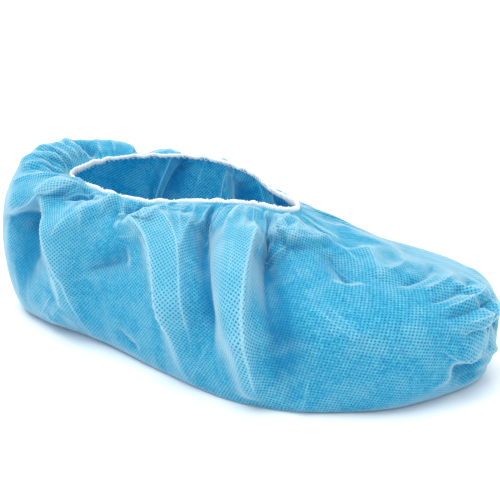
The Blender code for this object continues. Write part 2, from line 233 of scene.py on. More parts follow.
# Creases that are too narrow for the solid, in the same columns. Their heights are shares of
# crease_depth and their flanks shares of crease_width.
crease_depth = 0.0028
crease_width = 0.0030
crease_power = 1.2
CREASES = (
    # Fan of pleats round the heel end of the opening
    (-0.200, 0.04, -0.135, 0.42, 0.0, 0.75, 0.9, 0.7),
    (-0.168, 0.05, -0.125, 0.30, 0.0, -0.45, 0.7, 0.7),
    (-0.150, 0.04, -0.118, 0.26, 0.0, 0.40, 0.6, 0.6),
    (-0.105, 0.03, -0.124, 0.32, 0.0, 0.75, 0.8, 0.8),
    (-0.072, 0.03, -0.108, 0.24, 0.0, -0.50, 0.6, 0.6),
    (-0.040, 0.03, -0.095, 0.26, 0.0, 0.70, 0.8, 0.8),
    (-0.010, 0.03, -0.055, 0.22, 0.0, -0.50, 0.6, 0.6),
    (0.012, 0.03, -0.025, 0.24, 0.0, 0.70, 0.8, 0.8),
    (0.028, 0.03, 0.005, 0.18, 0.0, -0.50, 0.6, 0.6),
    (0.044, 0.03, 0.024, 0.22, 0.0, 0.65, 0.7, 0.7),
    (0.058, 0.03, 0.040, 0.16, 0.0, -0.45, 0.6, 0.6),
    (0.073, 0.03, 0.056, 0.20, 0.0, 0.60, 0.7, 0.7),
    (0.093, 0.03, 0.090, 0.15, 0.0, -0.40, 0.6, 0.6),
    (0.114, 0.03, 0.118, 0.18, 0.0, 0.55, 0.7, 0.7),
    (0.148, 0.03, 0.143, 0.16, 0.0, 0.50, 0.7, 0.7),
    # The elastic draws the cloth down beside the heel end of the opening
    (-0.270, 0.100, -0.060, 0.100, 0.0, -1.30, 2.5, 2.5),
    # Heel, under the shelf
    (-0.177, 0.650, -0.265, 0.452, 0.0, -0.4, 1.4, 1.0),
    (-0.060, 0.420, -0.130, 0.700, 0.2, 0.3, 1.2, 1.0),
    (-0.020, 0.600, -0.050, 0.860, 0.0, -0.3, 1.2, 1.2),
    # Heel side, out of the gathers
    (-0.243, 0.050, -0.300, 0.450, -0.3, 0.45, 0.9, 0.7),
    (-0.256, 0.050, -0.333, 0.490, -0.5, 0.60, 0.9, 0.6),
    (-0.285, 0.050, -0.320, 0.240, 0.0, -0.40, 0.6, 0.6),
    (-0.310, 0.060, -0.338, 0.330, 0.0, 0.50, 0.7, 0.7),
    (-0.329, 0.810, -0.286, 0.890, 0.0, 0.6, 0.6, 0.6),
    (-0.312, 0.844, -0.280, 0.898, 0.0, -0.6, 0.6, 0.6),
    (-0.362, 0.690, -0.414, 0.570, 0.0, -0.45, 0.5, 0.7),
    (-0.340, 0.760, -0.400, 0.700, 0.0, 0.25, 0.8, 0.8),
    (-0.414, 0.862, -0.457, 0.896, 0.0, -0.7, 0.8, 0.8),
    # Puff under the rim
    (-0.345, 0.140, -0.395, 0.420, -0.2, 0.70, 0.6, 0.6),
    (-0.395, 0.420, -0.448, 0.400, 0.0, 0.45, 0.5, 0.5),
    (-0.376, 0.060, -0.448, 0.400, -0.3, 0.65, 0.6, 0.6),
    (-0.362, 0.260, -0.443, 0.335, 0.0, 0.40, 0.6, 0.6),
    (-0.390, 0.100, -0.425, 0.300, 0.0, -0.60, 0.5, 0.5),
    # Gathers that run out on the two near pleats
    (-0.424, 0.100, -0.505, 0.400, 0.2, 0.50, 0.7, 0.7),
    (-0.443, 0.060, -0.533, 0.430, 0.2, 0.60, 0.7, 0.7),
    (-0.457, 0.100, -0.529, 0.380, 0.0, -0.40, 0.5, 0.5),
    (-0.472, 0.040, -0.531, 0.500, -0.3, 0.65, 0.7, 0.7),
    (-0.500, 0.030, -0.522, 0.200, 0.0, 0.60, 0.7, 0.7),
    (-0.516, 0.030, -0.530, 0.180, 0.0, -0.50, 0.5, 0.5),
    (-0.533, 0.020, -0.540, 0.220, 0.0, 0.60, 0.6, 0.6),
    (-0.557, 0.020, -0.560, 0.180, 0.0, 0.50, 0.6, 0.6),
    (-0.575, 0.020, -0.590, 0.260, 0.0, -0.40, 0.6, 0.6),
    (-0.592, 0.020, -0.612, 0.300, 0.0, 0.50, 0.7, 0.7),
    (-0.630, 0.020, -0.655, 0.280, 0.0, 0.35, 0.7, 0.7),
    (-0.650, 0.020, -0.681, 0.240, -0.2, 0.60, 0.7, 0.7),
    (-0.719, 0.020, -0.683, 0.300, 0.0, 0.70, 0.7, 0.7),
    (-0.742, 0.030, -0.715, 0.260, 0.0, -0.55, 0.6, 0.6),
    (-0.490, 0.500, -0.512, 0.760, 0.0, 0.30, 0.8, 0.8),
    (-0.575, 0.300, -0.590, 0.700, 0.0, -0.35, 0.8, 0.8),
    (-0.635, 0.300, -0.640, 0.640, 0.0, 0.30, 1.2, 1.2),
    (-0.560, 0.900, -0.590, 0.780, 0.0, 0.4, 0.8, 0.8),
    (-0.740, 0.930, -0.750, 0.820, 0.0, 0.4, 0.8, 0.8),
    # Top of the foot, where the gathers fan out of the front of the opening
    (-0.871, 0.020, -0.705, 0.220, 0.4, 0.65, 0.8, 0.8),
    (-0.850, 0.060, -0.750, 0.260, 0.2, -0.45, 0.7, 0.7),
    (-0.900, 0.020, -0.814, 0.170, 0.0, 0.60, 0.7, 0.7),
    (-0.962, 0.020, -0.985, 0.150, 0.0, 0.60, 0.7, 0.7),
    (-0.800, 0.146, -0.990, 0.115, 0.0, 0.55, 0.7, 0.7),
    (-0.820, 0.170, -0.960, 0.150, 0.0, -0.40, 0.6, 0.6),
    (0.989, 0.140, 0.980, 0.236, 0.0, 0.5, 0.8, 0.8),
    (-0.911, 0.180, -0.877, 0.344, 0.0, -0.4, 0.8, 0.8),
    (-0.905, 0.150, -0.890, 0.400, 0.0, 0.35, 0.8, 0.8),
    (-0.993, 0.196, -0.922, 0.360, 0.0, 0.5, 0.9, 0.7),
    (-0.784, 0.524, -0.818, 0.696, 0.2, 0.4, 0.9, 0.9),
    (-0.860, 0.400, -0.850, 0.520, 0.0, -0.25, 1.2, 1.2),
    (0.930, 0.060, 0.900, 0.260, 0.0, 0.5, 0.8, 0.8),
    (0.870, 0.300, 0.850, 0.660, 0.0, 0.3, 0.9, 0.9),
    # Toe seam and the dimple where it ends
    (-0.984, 0.560, -0.975, 0.770, -0.2, -0.7, 0.4, 0.6),
    (-0.972, 0.686, -0.993, 0.862, 0.2, 0.5, 0.6, 0.6),
    (-0.968, 0.850, -0.938, 0.846, 0.0, -0.6, 0.6, 0.6),
    (0.994, 0.786, -0.998, 0.794, 0.0, -0.6, 0.8, 0.8),
    (-0.930, 0.700, -0.955, 0.800, 0.0, 0.3, 0.8, 0.8),
    (-0.910, 0.880, -0.950, 0.850, 0.0, 0.4, 0.6, 0.6),
    (0.970, 0.720, -0.985, 0.800, 0.0, 0.4, 0.7, 0.7),
    # Ruffles across the toe seam
    (-0.945, 0.330, 0.985, 0.300, 0.0, 0.80, 0.7, 0.7),
    (-0.940, 0.400, 0.975, 0.380, 0.2, -0.80, 0.7, 0.7),
    (-0.950, 0.460, 0.980, 0.450, 0.0, 0.95, 0.7, 0.7),
    (-0.935, 0.530, 0.975, 0.520, 0.0, -0.95, 0.6, 0.6),
    (-0.940, 0.585, 0.980, 0.580, 0.2, 1.10, 0.7, 0.7),
    (-0.930, 0.640, 0.975, 0.650, 0.0, -0.95, 0.6, 0.6),
    (-0.945, 0.700, 0.985, 0.710, 0.0, 0.95, 0.6, 0.6),
    (-0.940, 0.760, 0.985, 0.780, 0.0, -0.95, 0.6, 0.6),
    (-0.940, 0.820, 0.985, 0.850, 0.0, 0.95, 0.6, 0.6),
    (-0.945, 0.890, 0.980, 0.910, 0.0, -0.80, 0.6, 0.6),
    # Far side
    (0.190, 0.040, 0.180, 0.300, 0.2, 0.5, 0.7, 0.7),
    (0.230, 0.040, 0.225, 0.360, 0.0, -0.5, 0.8, 0.8),
    (0.318, 0.060, 0.330, 0.820, 0.0, -0.6, 0.7, 0.9),
    (0.360, 0.060, 0.370, 0.500, 0.0, 0.5, 0.8, 0.8),
    (0.400, 0.040, 0.440, 0.820, 0.4, 0.7, 1.0, 0.5),
    (0.452, 0.040, 0.468, 0.640, 0.0, -0.6, 0.6, 0.9),
    (0.500, 0.040, 0.520, 0.700, 0.0, 0.5, 0.9, 0.9),
    (0.585, 0.050, 0.570, 0.800, -0.3, -0.6, 0.6, 0.9),
    (0.640, 0.040, 0.620, 0.500, 0.0, 0.5, 0.8, 0.8),
    (0.700, 0.040, 0.660, 0.440, 0.0, 0.5, 0.8, 0.8),
    (0.800, 0.080, 0.730, 0.700, 0.4, -0.5, 0.6, 0.9),
    (0.620, 0.860, 0.640, 0.700, 0.0, 0.5, 0.8, 0.8),
    (0.300, 0.930, 0.330, 0.780, 0.0, 0.5, 0.8, 0.8),
)


def smooth_step(share):
    """Rise from 0 to 1 with level ends."""
    share = np.clip(share, 0.0, 1.0)
    return share * share * (3.0 - 2.0 * share)


def section(name, turn):
    """The value of one section column at each turn, as a smooth curve through the rows."""
    rows = np.array(SECTIONS)
    place = rows[:, 0]
    value = rows[:, SECTION_COLUMNS.index(name)]
    mirror = -1.0 if name in ODD_COLUMNS else 1.0
    place = np.concatenate([-place[:0:-1], place, 2.0 - place[-2::-1]])
    value = np.concatenate([mirror * value[:0:-1], value, mirror * value[-2::-1]])
    slope = np.gradient(value, place)
    index = np.clip(np.searchsorted(place, turn, side="right") - 1, 0, len(place) - 2)
    span = place[index + 1] - place[index]
    way = (turn - place[index]) / span
    rest = 1.0 - way
    return (
        value[index] * (1.0 + 2.0 * way) * rest**2
        + slope[index] * span * way * rest**2
        + value[index + 1] * way**2 * (3.0 - 2.0 * way)
        - slope[index + 1] * span * way**2 * rest
    )


def bezier(start, first, second, end, way):
    """Point on a curve from start to end that two handles shape."""
    rest = 1.0 - way
    return (
        start * rest**3
        + 3.0 * first * way * rest**2
        + 3.0 * second * way**2 * rest
        + end * way**3
    )


def wrapped(turn):
    """Turn brought back into -1 to 1, which both stand for the toe."""
    return (turn + 1.0) % 2.0 - 1.0


def rim_at(turn):
    """The cut edge of the foot opening."""
    near_or_far = np.where(turn < 0.0, -1.0, 1.0)
    heel_end = opening_setback - cover_length / 2
    middle = opening_width * section("rim_sway", abs(turn))
    across = section("rim_y", abs(turn))
    return np.stack([
        heel_end + opening_length * section("rim_x", abs(turn)),
        middle + near_or_far * opening_width / 2 * across,
        opening_height * section("rim_z", abs(turn)) + near_or_far * rim_tilt * across,
    ], axis=-1)


def side_at(turn):
    """The widest line of the cover."""
    near_or_far = np.where(turn < 0.0, -1.0, 1.0)
    middle = cover_width * section("sway", abs(turn))
    return np.stack([
        cover_length * (section("side_x", abs(turn)) - 0.5),
        middle + near_or_far * cover_width / 2 * section("side_y", abs(turn)),
        opening_height * section("side_z", abs(turn)),
    ], axis=-1)


def plan_normal(curve, turn):
    """Unit direction out of a closed curve in plan, with no height."""
    along = curve(wrapped(turn + STEP)) - curve(wrapped(turn - STEP))
    out = np.stack([-along[..., 1], along[..., 0], 0.0 * along[..., 0]], axis=-1)
    return out / np.linalg.norm(out, axis=-1, keepdims=True)


def smooth_form(turn, down):
    """Point of the cover without its folds."""
    turn = wrapped(turn)
    rim = rim_at(turn)
    side = side_at(turn)
    out = plan_normal(side_at, turn)
    up = np.array([0.0, 0.0, 1.0])
    ground = np.array([1.0, 1.0, 0.0])
    reach = np.linalg.norm((side - rim) * ground, axis=-1)
    slump = np.where(turn < 0.0, near_slump * np.sin(math.pi * turn), 0.0)
    crest = rim * ground + out * (section("out", abs(turn)) * reach)[..., None]
    crest = crest + up * (opening_height * section("crest_z", abs(turn)) + slump)[..., None]
    belly = side * ground + up * (opening_height * section("belly_z", abs(turn)))[..., None]
    tuck = (sole_tuck * section("tuck", abs(turn)))[..., None]
    edge = side * ground - out * tuck
    upper = bezier(rim, crest, belly, side, np.clip(down / WIDEST_DOWN, 0.0, 1.0)[..., None])
    lower_way = np.clip((down - WIDEST_DOWN) / (SOLE_EDGE - WIDEST_DOWN), 0.0, 1.0)[..., None]
    under_side = side - up * side[..., 2:] * CORNER_FULLNESS
    beside_edge = edge + out * tuck * CORNER_FULLNESS
    lower = bezier(side, under_side, beside_edge, edge, lower_way)
    skin = np.where((down <= WIDEST_DOWN)[..., None], upper, lower)
    spine = np.stack([
        SPINE_SHARE * cover_length * (section("side_x", abs(turn)) - 0.5),
        cover_width * section("sway", abs(turn)),
        0.0 * turn,
    ], axis=-1)
    sole_way = np.clip(down - SOLE_EDGE, 0.0, 1.0)[..., None]
    return np.where((down <= SOLE_EDGE)[..., None], skin, edge + (spine - edge) * sole_way)


def cloth_spans(turn, down):
    """Vectors round and down the smooth form, for a whole unit of turn and of down."""
    below = np.minimum(down + STEP, SOLE_EDGE)
    above = np.maximum(below - 2.0 * STEP, 0.0)
    round_it = (smooth_form(turn + STEP, down) - smooth_form(turn - STEP, down)) / (2.0 * STEP)
    down_it = (smooth_form(turn, below) - smooth_form(turn, above)) / (below - above)[..., None]
    return round_it, down_it


def beside_run(run, width, turn, down):
    """Where points lie beside a run: share of its length, distance past its ends and to its
    left, and the direction to its left, round and down the cloth."""
    run_turn = wrapped(run["turn_b"] - run["turn_a"])
    run_down = run["down_b"] - run["down_a"]
    middle_turn = np.array([run["turn_a"] + run_turn / 2])
    middle_down = np.array([run["down_a"] + run_down / 2])
    girth, drop = (np.linalg.norm(span) for span in cloth_spans(middle_turn, middle_down))
    run_x = run_turn * girth
    run_y = run_down * drop
    length = np.hypot(run_x, run_y)
    x = wrapped(turn - run["turn_a"]) * girth
    y = (down - run["down_a"]) * drop
    way = (x * run_x + y * run_y) / length**2
    inside = np.clip(way, 0.0, 1.0)
    bow = run["bow"] * width * 4.0 * inside * (1.0 - inside)
    aside = (x * run_y - y * run_x) / length - bow
    return inside, (way - inside) * length, aside, (run_y / length, -run_x / length)


top_fade = 0.20
top_share = 0.35
foot_fade = 0.30
foot_share = 0.10


def run_fade(inside):
    """Share of its height that a run has along its length: it dies away towards both ends."""
    top = smooth_step(inside / top_fade + top_share)
    return top * smooth_step((1.0 - inside) / foot_fade + foot_share)


def run_heights(runs, depth, width, power, turn, down):
    """How far the points stand out of the smooth form, for all the runs of a table."""
    total = np.zeros_like(turn)
    for row in runs:
        fold = dict(zip(FOLD_COLUMNS, row))
        inside, past_end, aside, _ = beside_run(fold, width, turn, down)
        flank = width * np.where(aside > 0.0, fold["left"], fold["right"])
        spread = np.hypot(aside, past_end) / flank
        total += fold["height"] * depth * run_fade(inside) * np.exp(-(spread**power))
    return total


# Edges where the cloth is folded over itself and pressed flat, in the same way. low is the
# side that lies underneath, 1 for the left and -1 for the right. rise is a share of
# edge_rise, and reach, how far the cloth is lifted, a share of edge_width.
edge_width = 0.012
edge_rise = 0.0032
edge_overlap = 0.0008
edge_round = 0.0018
edge_hollow = 0.7
overlap_reach = 0.004
EDGE_COLUMNS = ("turn_a", "down_a", "turn_b", "down_b", "bow", "rise", "low", "reach")
EDGES = (
    # Heel
    (-0.213, 0.320, -0.350, 0.960, -0.5, 1.00, 1, 1.2),
    (-0.238, 0.160, -0.110, 0.640, -1.0, 0.90, -1, 1.0),
    (-0.330, 0.180, -0.305, 0.600, 0.3, 0.45, -1, 0.9),
    (-0.300, 0.830, -0.250, 0.930, 0.0, 0.50, -1, 0.5),
    # Near side, two pleats with the valley between them
    (-0.367, 0.300, -0.550, 0.970, -1.4, 1.00, 1, 1.0),
    (-0.440, 0.220, -0.567, 0.860, -1.1, 0.60, -1, 0.8),
    (-0.524, 0.080, -0.620, 0.760, -0.4, 0.50, 1, 0.8),
    (-0.688, 0.170, -0.681, 0.930, 0.55, 1.10, -1, 1.0),
    # Top of the foot
    (-0.710, 0.140, -0.914, 0.120, 0.0, 0.55, 1, 0.7),
    (-0.705, 0.240, -0.938, 0.073, 0.0, 0.35, 1, 0.7),
    (-0.985, 0.100, -0.945, 0.270, 0.0, 0.35, -1, 0.6),
    (-0.800, 0.500, -0.819, 0.700, 0.0, 0.25, 1, 0.8),
    # Toe
    (0.975, 0.520, -0.962, 0.880, -0.2, 0.70, -1, 0.5),
    (0.990, 0.570, -0.981, 0.830, -0.2, 0.50, -1, 0.3),
    (-0.919, 0.800, -0.968, 0.880, 0.0, 0.45, 1, 0.5),
    # Far side
    (0.265, 0.100, 0.300, 0.860, 0.4, 0.80, -1, 1.0),
    (0.420, 0.080, 0.450, 0.900, -0.4, 0.90, 1, 1.0),
    (0.560, 0.100, 0.540, 0.840, 0.4, 0.90, -1, 1.0),
    (0.720, 0.120, 0.690, 0.780, 0.6, 0.60, -1, 0.8),
)


# The small gathers that the elastic draws up: each has its own place, height, width and
# length, and they fall slack in front of the foot opening.
gather_count = 58
gather_height = 0.0016
gather_width = 0.0024
gather_power = 1.3
gather_top = 0.02
gather_lean = 0.02
near_foot = 0.14
far_foot = 0.06
foot_spread = 0.20
far_start = 0.16
heel_turn = 0.20
heel_drop = 0.10
heel_slack = 0.6
far_slack = 0.5
front_start = 0.60
front_span = 0.22
front_loss = 0.72
gather_draw = random.Random(11)
gather_runs = []
for gather_index in range(gather_count):
    gather_turn = -1.0 + 2.0 * (gather_index + gather_draw.uniform(0.2, 0.8)) / gather_count
    gather_front = float(smooth_step((abs(gather_turn) - front_start) / front_span))
    gather_slack = 1.0 - front_loss * gather_front
    gather_low = near_foot if gather_turn < far_start else far_foot
    gather_foot = gather_low + gather_draw.uniform(0.0, foot_spread)
    if abs(gather_turn) < heel_turn:
        gather_foot += heel_drop
        gather_slack *= heel_slack
    elif gather_turn > 0.0:
        gather_slack *= far_slack
    gather_runs.append((
        gather_turn, gather_top,
        gather_turn + gather_draw.uniform(-gather_lean, gather_lean), gather_foot,
        gather_draw.uniform(-0.3, 0.3), gather_slack * gather_draw.uniform(0.4, 1.0),
        gather_draw.uniform(0.5, 1.0), gather_draw.uniform(0.5, 1.0),
    ))


broad_ripple = 0.0011
broad_count = 5.0
fine_ripple = 0.0005
fine_count = 15.0


def ripple(turn, down):
    """Faint waviness of the cloth, one broad and one fine."""
    height = np.zeros_like(turn)
    for index, (t, d) in enumerate(zip(turn, down)):
        angle = math.pi * t
        place = Vector((math.cos(angle), math.sin(angle), 0.0))
        broad = noise.noise(place * broad_count + Vector((0.0, 0.0, d * 3.0)))
        fine = noise.noise(place * fine_count + Vector((0.0, 0.0, d * 6.0)))
        height[index] = broad_ripple * broad + fine_ripple * fine
    return height


columns_around = 420
rows_upper = 96
rows_sole = 12
merge_reach = 0.00001
rim_ease = 0.04
sole_ease = 0.10


def cloth_point(turn, down):
    """Point of the cover with its folds, flat where it rests."""
    round_it, down_it = cloth_spans(turn, down)
    normal = np.cross(round_it, down_it)
    normal = normal / np.maximum(np.linalg.norm(normal, axis=-1, keepdims=True), 1e-12)
    height = run_heights(FOLDS, fold_depth, fold_width, fold_power, turn, down)
    height += ripple(turn, down)
    height *= smooth_step(down / rim_ease) * smooth_step((SOLE_EDGE - down) / sole_ease)
    point = smooth_form(turn, down) + normal * height[..., None]
    point[..., 2] = np.maximum(point[..., 2], 0.0)
    return point


def wrapped_sheet(name, columns, downs, point_at):
    """A flat grid wrapped round the foot: each grid vertex goes where point_at puts it."""
    work = bmesh.new()
    bmesh.ops.create_grid(work, x_segments=columns, y_segments=len(downs) - 1, size=1.0)
    work.verts.ensure_lookup_table()
    flat = np.array([vert.co for vert in work.verts])
    rows = np.rint((flat[:, 1] + 1.0) / 2.0 * (len(downs) - 1)).astype(int)
    placed = point_at(flat[:, 0], np.array(downs)[rows])
    down_layer = work.verts.layers.float.new("down")
    turn_layer = work.verts.layers.float.new("turn")
    for vert, point, row, turn in zip(work.verts, placed, rows, flat[:, 0]):
        vert.co = point
        vert[down_layer] = downs[row]
        vert[turn_layer] = turn
    bmesh.ops.remove_doubles(work, verts=work.verts, dist=merge_reach)
    mesh = bpy.data.meshes.new(name)
    work.to_mesh(mesh)
    work.free()
    mesh.shade_smooth()
    return add_object(name, mesh)


cover_downs = list(np.linspace(0.0, SOLE_EDGE, rows_upper + 1))
cover_downs += list(np.linspace(SOLE_EDGE, SOLE_MIDDLE, rows_sole + 1)[1:])
cover = wrapped_sheet("cloth_cover", columns_around, cover_downs, cloth_point)

# The folds stand further out on one side, so the solid was centred after they were made.
cover_corners = np.array([vert.co for vert in cover.data.vertices])
centring = (cover_corners.min(axis=0) + cover_corners.max(axis=0)) / 2
centring = Vector((-centring[0], -centring[1], 0.0))
cover.data.transform(Matrix.Translation(centring))

# A little too much cloth for its form, held at the elastic and under the sole and only
# loosely between them, so that it buckles into its own fine creases. The spare shares say how
# much longer and wider the cloth is cut than the form behind the ball of the foot and before it.
loose_hold = 0.25
held_top = 0.06
held_sole = 0.93
ball_place = 0.045
low_height = 0.01
high_span = 0.06
low_spare = 0.35
spare_length = 0.20
spare_toe = 0.02
spare_width = 0.04
settle_frames = 14
held = cover.vertex_groups.new(name="held")
for vert, mark in zip(cover.data.vertices, cover.data.attributes["down"].data):
    firm = max(
        1.0 - mark.value / held_top, (mark.value - held_sole) / (1.0 - held_sole), 0.0
    )
    held.add([vert.index], min(1.0, loose_hold + (1.0 - loose_hold) * firm), "REPLACE")
cover.shape_key_add(name="filled form")
cut = cover.shape_key_add(name="cloth as cut")
for vert, point in zip(cover.data.vertices, cut.data):
    high = float(smooth_step((vert.co.z - low_height) / high_span))
    share = low_spare + (1.0 - low_spare) * high
    ahead = vert.co.x - ball_place
    spare = spare_length * share if ahead < 0.0 else spare_toe
    point.co.x = ball_place + ahead * (1.0 + spare)
    point.co.y = vert.co.y * (1.0 + spare_width)
    point.co.z = vert.co.z
slack = cover.modifiers.new("slack cloth", "CLOTH")
slack.settings.rest_shape_key = cut
slack.settings.vertex_group_mass = "held"
slack.settings.pin_stiffness = 1.0
slack.settings.quality = 5
slack.settings.mass = 0.02
slack.settings.tension_stiffness = 15.0
slack.settings.compression_stiffness = 15.0
slack.settings.shear_stiffness = 5.0
slack.settings.bending_stiffness = 0.25
slack.settings.air_damping = 1.0
slack.settings.effector_weights.gravity = 0.3
slack.collision_settings.use_collision = False
slack.point_cache.frame_start = 1
slack.point_cache.frame_end = settle_frames
for step in range(1, settle_frames + 1):
    bpy.context.scene.frame_set(step)
settled = cover.evaluated_get(bpy.context.evaluated_depsgraph_get())
draped = bpy.data.meshes.new_from_object(settled)
cover.modifiers.remove(slack)
cover.shape_key_clear()
cover.data = draped
bpy.context.scene.frame_set(1)

# The pressed edges, creases and gathers are put on last, because they are finer than the
# simulation. Each point moves along the cloth's own normal, and over the low side of an edge.
# line_away says how far a point is from the nearest pressed line. A second mark says how strong
# the painted highlight, a thin pale line, is along that line.
fine_ease = 0.06
run_end = 0.004
line_near = 0.0025
line_reach = 0.004
no_line = 0.02
# crease_line and gather_line set how strong the painted highlight is along creases and gathers.
crease_line = 0.55
gather_line = 0.5
cover_count = len(cover.data.vertices)
mark_turn = np.empty(cover_count)
mark_down = np.empty(cover_count)
cover.data.attributes["turn"].data.foreach_get("value", mark_turn)
cover.data.attributes["down"].data.foreach_get("value", mark_down)
normals = np.array([vert.normal for vert in cover.data.vertices])
places = np.array([vert.co for vert in cover.data.vertices])
round_it, down_it = cloth_spans(mark_turn, mark_down)
round_it /= np.maximum(np.linalg.norm(round_it, axis=-1, keepdims=True), 1e-9)
down_it /= np.maximum(np.linalg.norm(down_it, axis=-1, keepdims=True), 1e-9)
held_still = smooth_step(mark_down / rim_ease)
held_still *= smooth_step((SOLE_EDGE - mark_down) / fine_ease)

fine = run_heights(CREASES, crease_depth, crease_width, crease_power, mark_turn, mark_down)
fine += run_heights(
    gather_runs, gather_height, gather_width, gather_power, mark_turn, mark_down
)
moved = np.zeros((cover_count, 3))
line_away = np.full(cover_count, no_line)
line_highlight_share = np.zeros(cover_count)
line_score = np.zeros(cover_count)
line_runs = [(dict(zip(EDGE_COLUMNS, row)), edge_width, row[5]) for row in EDGES]
line_runs += [
    (dict(zip(FOLD_COLUMNS, row)), crease_width, crease_line * row[5])
    for row in CREASES if row[5] > 0.0
]
line_runs += [
    (dict(zip(FOLD_COLUMNS, row)), gather_width, gather_line * row[5]) for row in gather_runs
]
for run, width, strength in line_runs:
    inside, past_end, aside, (across_x, across_y) = beside_run(run, width, mark_turn, mark_down)
    fade = run_fade(inside) * np.exp(-((past_end / run_end) ** 2))
    if "low" in run:
        away = aside * run["low"]
        reach = run["reach"] * edge_width
        above = 0.5 - 0.5 * np.tanh(away / edge_round)
        lifted = above * np.exp(np.minimum(away, 0.0) / reach)
        lifted -= edge_hollow * (1.0 - above) * np.exp(-2.0 * np.maximum(away, 0.0) / reach)
        fine += run["rise"] * edge_rise * fade * lifted
        over = above * np.exp(np.minimum(away, 0.0) / overlap_reach)
        over = run["rise"] * edge_overlap * fade * over * run["low"]
        moved += (over * across_x)[:, None] * round_it + (over * across_y)[:, None] * down_it
        aside = aside + run["low"] * edge_round
    score = strength * fade * np.exp(-abs(aside) / line_near)
    better = score > line_score
    line_score = np.where(better, score, line_score)
    line_away = np.where(better, aside, line_away)
    share = strength * fade * np.exp(-((aside / line_reach) ** 2))
    line_highlight_share = np.where(better, share, line_highlight_share)
places += (normals * fine[:, None] + moved) * held_still[:, None]
places[:, 2] = np.maximum(places[:, 2], 0.0)
cover.data.vertices.foreach_set("co", places.ravel())
# raised, the height over the smooth form, sets the painted fold shade and the painted highlight on
# raised cloth.
raised = fine + run_heights(
    FOLDS, fold_depth, fold_width, fold_power, mark_turn, mark_down
)
for mark, value in (("line_away", line_away), ("line_highlight_share", line_highlight_share), ("raised", raised)):
    cover.data.attributes.new(mark, "FLOAT", "POINT").data.foreach_set("value", value)
cover.data.update()

cover_wall = cover.modifiers.new("cloth thickness", "SOLIDIFY")
cover_wall.thickness = cloth_wall
cover_wall.offset = -1.0
cover_wall.use_even_offset = False


# How sharply the cloth bends outwards at each point, from 0 in a valley to 1 on a crest. The
# material paints a highlight on crests and shade in valleys from it.
bend_gain = 2.0
bend_work = bmesh.new()
bend_work.from_mesh(cover.data)
bend_work.normal_update()
bends = {}
for vert in bend_work.verts:
    around = [edge.other_vert(vert).co for edge in vert.link_edges]
    middle = sum(around, Vector()) / len(around)
    spacing = sum((place - vert.co).length for place in around) / len(around)
    bends[vert.index] = (vert.co - middle).dot(vert.normal) / spacing
bend_mark = bend_work.verts.layers.float.new("bend")
for vert in bend_work.verts:
    near = [bends[edge.other_vert(vert).index] for edge in vert.link_edges]
    vert[bend_mark] = 0.5 + bend_gain * (bends[vert.index] + sum(near)) / (1 + len(near))

# The pattern follows the cloth, laid out flat with cuts at the heel and round the sole.
down_mark = bend_work.verts.layers.float["down"]
turn_mark = bend_work.verts.layers.float["turn"]
for edge in bend_work.edges:
    round_sole = all(abs(vert[down_mark] - SOLE_EDGE) < 0.001 for vert in edge.verts)
    at_heel = all(abs(vert[turn_mark]) < 0.5 / columns_around for vert in edge.verts)
    edge.seam = round_sole or at_heel
bend_work.to_mesh(cover.data)
bend_work.free()
cover.data.uv_layers.new(name="cloth")
bpy.context.view_layer.objects.active = cover
cover.select_set(True)
bpy.ops.object.mode_set(mode="EDIT")
bpy.ops.mesh.select_all(action="SELECT")
bpy.ops.uv.unwrap(method="MINIMUM_STRETCH", iterations=6, margin=0.001)
bpy.ops.object.mode_set(mode="OBJECT")
layout = np.empty(len(cover.data.loops) * 2)
cover.data.uv_layers["cloth"].uv.foreach_get("vector", layout)
layout = layout.reshape(-1, 2)
layout_area = 0.0
for face in cover.data.polygons:
    corners = layout[list(face.loop_indices)]
    following = np.roll(corners, -1, axis=0)
    crossed = corners[:, 0] * following[:, 1] - corners[:, 1] * following[:, 0]
    layout_area += abs(np.sum(crossed)) / 2
cloth_area = sum(face.area for face in cover.data.polygons)
layout *= math.sqrt(cloth_area / layout_area)
cover.data.uv_layers["cloth"].uv.foreach_set("vector", layout.ravel())


